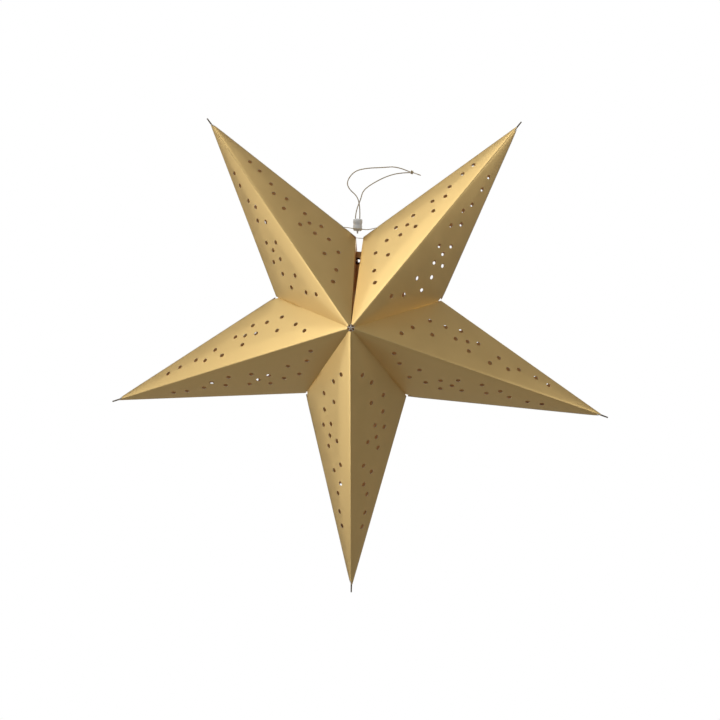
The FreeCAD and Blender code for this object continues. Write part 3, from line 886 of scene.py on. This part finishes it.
# The closing flap: the last arm's card runs on across the open seam at the back, cream side
# to the front, and carries the eyelet that the seam is buttoned with.
FLAP_START, FLAP_END, FLAP_LEFT = 0.020, 0.1138, -0.0095
FLAP_DROP = 0.0014
EYELET_ALONG, EYELET_X = 0.0995, -0.0024
EYELET_BARREL, EYELET_SHEET = 0.0064, 0.0004
slope = math.hypot(PEAK, NOTCH)
down_valley = Vector((0, -PEAK, NOTCH)) / slope
behind = Vector((0, NOTCH, PEAK)) / slope
flap_corner = Vector((0, PEAK, 0)) - behind * FLAP_DROP
flap_place = Matrix((
    (1, 0, 0, flap_corner.x),
    (0, down_valley.y, -behind.y, flap_corner.y),
    (0, down_valley.z, -behind.z, flap_corner.z),
    (0, 0, 0, 1),
))
seam_lean = math.tan(SEAM / 2) * NOTCH / slope
flap_right = seam_lean * FLAP_END
bpy.ops.mesh.primitive_grid_add(x_subdivisions=6, y_subdivisions=24, size=1)
flap = bpy.context.object
flap.name = "closing_flap"
flap.scale = (flap_right - FLAP_LEFT, FLAP_END - FLAP_START, 1)
flap.location = ((flap_right + FLAP_LEFT) / 2, (FLAP_START + FLAP_END) / 2, 0)
bpy.ops.object.transform_apply(location=True, rotation=True, scale=True)
bpy.ops.object.mode_set(mode="EDIT")
for place, away in [
    ((0, 0, 0), (1, -seam_lean, 0)), ((FLAP_LEFT, FLAP_START + 0.004, 0), (-1, -1, 0)),
    ((FLAP_LEFT, FLAP_END - 0.003, 0), (-1, 1, 0)),
]:
    bpy.ops.mesh.select_all(action="SELECT")
    trim(place, away)
bpy.ops.mesh.select_all(action="SELECT")
bpy.ops.mesh.flip_normals()
bpy.ops.object.mode_set(mode="OBJECT")
flap_sheet = flap.data.uv_layers.new(name="sheet")
for loop in flap.data.loops:
    spot = flap.data.vertices[loop.vertex_index].co
    flap_sheet.data[loop.index].uv = ((spot.y + 0.02) / FLAT_UNIT, (spot.x + 0.04) / FLAT_UNIT)
give_card(flap, PRINTED)
finish_with(
    flap, "SOLIDIFY", thickness=CARD, offset=-1, material_offset=INSIDE, material_offset_rim=CUT,
)
drill_hole(flap, EYELET_BARREL, 0.006, (EYELET_X, EYELET_ALONG, 0), 32)
put(flap, flap_place)
only(flap, arms[4])
bpy.ops.object.join()
for name, arm in zip(ARMS, arms):
    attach(arm, "root")
    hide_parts(name)

# The eyelet in the flap: thin brass sheet with a dark bronze plating, a short tube whose two
# ends are rolled out over the card.
EYELET_ROLL = [(0.0033, 0.00045), (0.0042, 0.00015), (0.0050, -0.00015), (0.0053, -0.0004)]
bpy.ops.mesh.primitive_cylinder_add(
    vertices=40, radius=EYELET_BARREL / 2 - EYELET_SHEET, depth=0.0012, end_fill_type="NOTHING",
    location=(0, 0, 0),
)
eyelet = bpy.context.object
eyelet.name = "bronze_eyelet"
bpy.ops.object.mode_set(mode="EDIT")
for way in (1, -1):
    choose(eyelet, "EDGE", lambda edge: all(vertex.co.z * way > 0.0005 for vertex in edge.verts))
    for radius, lift in EYELET_ROLL:
        rim = [vertex for vertex in bmesh.from_edit_mesh(eyelet.data).verts if vertex.select]
        now = max(vertex.co.xy.length for vertex in rim)
        bpy.ops.mesh.extrude_region_move(TRANSFORM_OT_translate={"value": (0, 0, lift * way)})
        bpy.ops.transform.resize(value=(radius / now, radius / now, 1), center_override=(0, 0, 0))
bpy.ops.mesh.select_all(action="SELECT")
bpy.ops.mesh.normals_make_consistent(inside=False)
bpy.ops.object.mode_set(mode="OBJECT")
finish_with(eyelet, "SOLIDIFY", thickness=0.00022, offset=0, use_even_offset=True)
finish_with(eyelet, "SUBSURF", levels=1, render_levels=1)
bpy.ops.object.shade_smooth()


def dark_bronze():
    """Dark bronze plating, a little uneven and rubbed lighter in places."""
    material, add = new_material("dark_bronze_plating")
    wear = grain(add, 420, 4, 0.6)
    tone = add("MixRGB", {0: wear.outputs[0], 1: (0.045, 0.022, 0.012, 1), 2: (0.14, 0.07, 0.035, 1)})
    metal = add("BsdfPrincipled", {"Base Color": tone.outputs[0], "Metallic": 0.85, "Roughness": 0.34})
    add("OutputMaterial", {"Surface": metal.outputs[0]})
    return material


eyelet.data.materials.append(dark_bronze())
put(eyelet, flap_place @ Matrix.Translation((EYELET_X, EYELET_ALONG, CARD / 2)))
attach(eyelet, "root")
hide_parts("eyelet")
